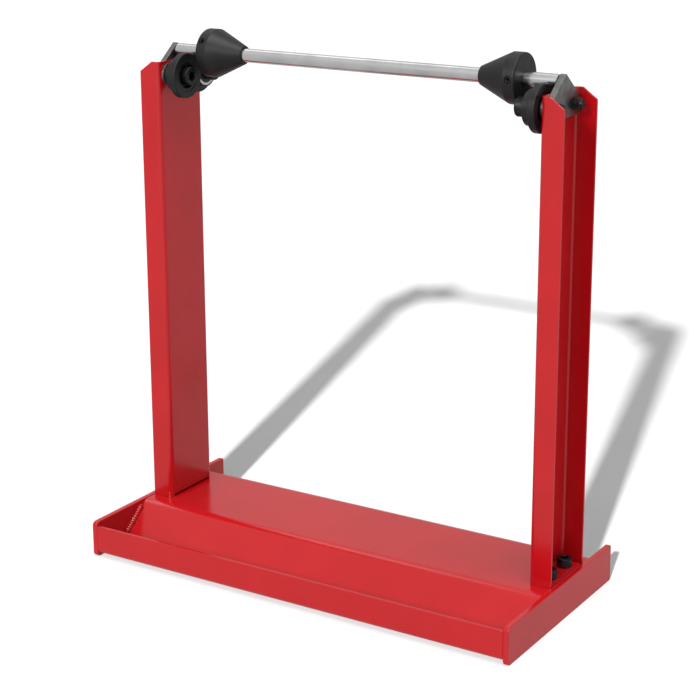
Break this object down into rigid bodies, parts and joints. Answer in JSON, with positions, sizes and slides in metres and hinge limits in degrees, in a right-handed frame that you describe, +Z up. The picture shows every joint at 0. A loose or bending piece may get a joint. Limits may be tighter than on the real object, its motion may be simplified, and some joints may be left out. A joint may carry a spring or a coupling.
{
  "type": "motorcycle wheel balancing stand",
  "caption": "Benchtop wheel balancing stand: folded tray base, two channel uprights, ball-bearing rollers and a free-turning shaft with sliding centring cones.",
  "frame": {"origin": "on the floor, under the middle of the base", "axes": "+X along the shaft to the right-hand upright, +Y to the back of the stand, +Z up"},
  "size_m": [0.42, 0.195, 0.4669],
  "materials": {
    "red_powder_coat": "gloss red powder coat on steel sheet",
    "zinc_plated_steel": "satin zinc plating",
    "bright_shaft_steel": "centreless-ground bright steel",
    "bearing_steel": "ground bearing steel",
    "cage_brass": "machined brass",
    "seal_rubber": "moulded rubber",
    "black_nylon": "satin black turned nylon",
    "black_oxide_steel": "black oxide on alloy steel"
  },
  "bodies": {
    "stand": {"base_tray": "red_powder_coat", "left_end_plate": "red_powder_coat", "right_end_plate": "red_powder_coat", "left_weld": "red_powder_coat", "right_weld": "red_powder_coat", "left_upright": "red_powder_coat", "right_upright": "red_powder_coat", "left_foot_bolts": "black_oxide_steel", "right_foot_bolts": "black_oxide_steel", "foot_washers": "zinc_plated_steel", "foot_nuts": "zinc_plated_steel", "left_stop_plate": "zinc_plated_steel", "right_stop_plate": "zinc_plated_steel", "left_front_axle_bolt": "black_oxide_steel", "left_rear_axle_bolt": "black_oxide_steel", "right_front_axle_bolt": "black_oxide_steel", "right_rear_axle_bolt": "black_oxide_steel", "left_front_spacer": "zinc_plated_steel", "left_rear_spacer": "zinc_plated_steel", "right_front_spacer": "zinc_plated_steel", "right_rear_spacer": "zinc_plated_steel", "left_front_washer": "zinc_plated_steel", "left_rear_washer": "zinc_plated_steel", "right_front_washer": "zinc_plated_steel", "right_rear_washer": "zinc_plated_steel", "left_front_bearing_inner": "bearing_steel", "left_rear_bearing_inner": "bearing_steel", "right_front_bearing_inner": "bearing_steel", "right_rear_bearing_inner": "bearing_steel"},
    "balance_shaft": {"shaft": "bright_shaft_steel"},
    "cone_left": {"left_cone": "black_nylon"},
    "cone_right": {"right_cone": "black_nylon"},
    "grub_left": {"left_grub_screw": "black_oxide_steel"},
    "grub_right": {"right_grub_screw": "black_oxide_steel"},
    "roller_left_front": {"left_front_roller": "black_nylon", "left_front_bearing_outer": "bearing_steel", "left_front_bearing_shields": "seal_rubber"},
    "roller_left_rear": {"left_rear_roller": "black_nylon", "left_rear_bearing_outer": "bearing_steel", "left_rear_bearing_shields": "seal_rubber"},
    "roller_right_front": {"right_front_roller": "black_nylon", "right_front_bearing_outer": "bearing_steel", "right_front_bearing_shields": "seal_rubber"},
    "roller_right_rear": {"right_rear_roller": "black_nylon", "right_rear_bearing_outer": "bearing_steel", "right_rear_bearing_shields": "seal_rubber"},
    "balls_left_front": {"left_front_bearing_balls": "bearing_steel", "left_front_bearing_cage": "cage_brass"},
    "balls_left_rear": {"left_rear_bearing_balls": "bearing_steel", "left_rear_bearing_cage": "cage_brass"},
    "balls_right_front": {"right_front_bearing_balls": "bearing_steel", "right_front_bearing_cage": "cage_brass"},
    "balls_right_rear": {"right_rear_bearing_balls": "bearing_steel", "right_rear_bearing_cage": "cage_brass"}
  },
  "joints": [
    {"name": "shaft_spin", "type": "hinge", "parent": "stand", "child": "balance_shaft", "pos_m": [0, 0.0185, 0.44586], "axis": [1, 0, 0], "continuous": true},
    {"name": "left_cone_slide", "type": "slide", "parent": "balance_shaft", "child": "cone_left", "axis": [-1, 0, 0], "range_m": [-0.104, 0.0055]},
    {"name": "right_cone_slide", "type": "slide", "parent": "balance_shaft", "child": "cone_right", "axis": [1, 0, 0], "range_m": [-0.1075, 0.002]},
    {"name": "left_grub_slide", "type": "slide", "parent": "cone_left", "child": "grub_left", "axis": [0, -0.8192, 0.5736], "range_m": [0, 0.002]},
    {"name": "right_grub_slide", "type": "slide", "parent": "cone_right", "child": "grub_right", "axis": [0, -0.9976, 0.0698], "range_m": [0, 0.002]},
    {"name": "left_front_roller_spin", "type": "hinge", "parent": "stand", "child": "roller_left_front", "pos_m": [-0.17, 0.001, 0.4267], "axis": [1, 0, 0], "continuous": true},
    {"name": "left_rear_roller_spin", "type": "hinge", "parent": "stand", "child": "roller_left_rear", "pos_m": [-0.17, 0.036, 0.4267], "axis": [1, 0, 0], "continuous": true},
    {"name": "right_front_roller_spin", "type": "hinge", "parent": "stand", "child": "roller_right_front", "pos_m": [0.17, 0.001, 0.4267], "axis": [1, 0, 0], "continuous": true},
    {"name": "right_rear_roller_spin", "type": "hinge", "parent": "stand", "child": "roller_right_rear", "pos_m": [0.17, 0.036, 0.4267], "axis": [1, 0, 0], "continuous": true},
    {"name": "left_front_cage_spin", "type": "hinge", "parent": "stand", "child": "balls_left_front", "pos_m": [-0.17, 0.001, 0.4267], "axis": [1, 0, 0], "continuous": true},
    {"name": "left_rear_cage_spin", "type": "hinge", "parent": "stand", "child": "balls_left_rear", "pos_m": [-0.17, 0.036, 0.4267], "axis": [1, 0, 0], "continuous": true},
    {"name": "right_front_cage_spin", "type": "hinge", "parent": "stand", "child": "balls_right_front", "pos_m": [0.17, 0.001, 0.4267], "axis": [1, 0, 0], "continuous": true},
    {"name": "right_rear_cage_spin", "type": "hinge", "parent": "stand", "child": "balls_right_rear", "pos_m": [0.17, 0.036, 0.4267], "axis": [1, 0, 0], "continuous": true}
  ],
  "couplings": [
    {"joint": "left_front_roller_spin", "follows": "shaft_spin", "ratio": -0.3038},
    {"joint": "left_rear_roller_spin", "follows": "shaft_spin", "ratio": -0.3038},
    {"joint": "right_front_roller_spin", "follows": "shaft_spin", "ratio": -0.3038},
    {"joint": "right_rear_roller_spin", "follows": "shaft_spin", "ratio": -0.3038},
    {"joint": "left_front_cage_spin", "follows": "shaft_spin", "ratio": -0.1924},
    {"joint": "left_rear_cage_spin", "follows": "shaft_spin", "ratio": -0.1924},
    {"joint": "right_front_cage_spin", "follows": "shaft_spin", "ratio": -0.1924},
    {"joint": "right_rear_cage_spin", "follows": "shaft_spin", "ratio": -0.1924}
  ]
}
